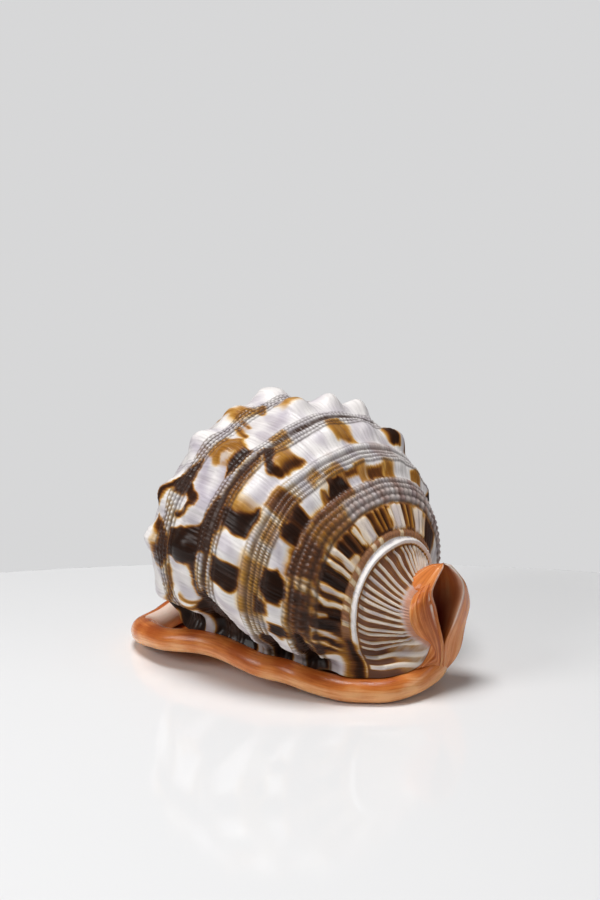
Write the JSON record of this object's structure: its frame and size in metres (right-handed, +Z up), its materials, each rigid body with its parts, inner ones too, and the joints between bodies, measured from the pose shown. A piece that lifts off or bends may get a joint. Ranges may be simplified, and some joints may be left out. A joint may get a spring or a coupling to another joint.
{
  "type": "bullmouth helmet shell",
  "caption": "Large marine snail shell with a knobbed brown and white back, a rolled orange lip, a narrow toothed mouth and a turned-up canal, lying mouth down.",
  "frame": {"origin": "middle of the footprint, on the ground that the lip and the shield rest on", "axes": "+X to the anterior end with the canal, +Z up to the back of the last turn, the outer lip on -Y"},
  "size_m": [0.1356, 0.1167, 0.1046],
  "materials": {
    "shell": "glossy natural shell: brown and white knobbed back, orange callus round the mouth"
  },
  "bodies": {
    "root": {"helmet_shell": "shell"}
  },
  "joints": []
}
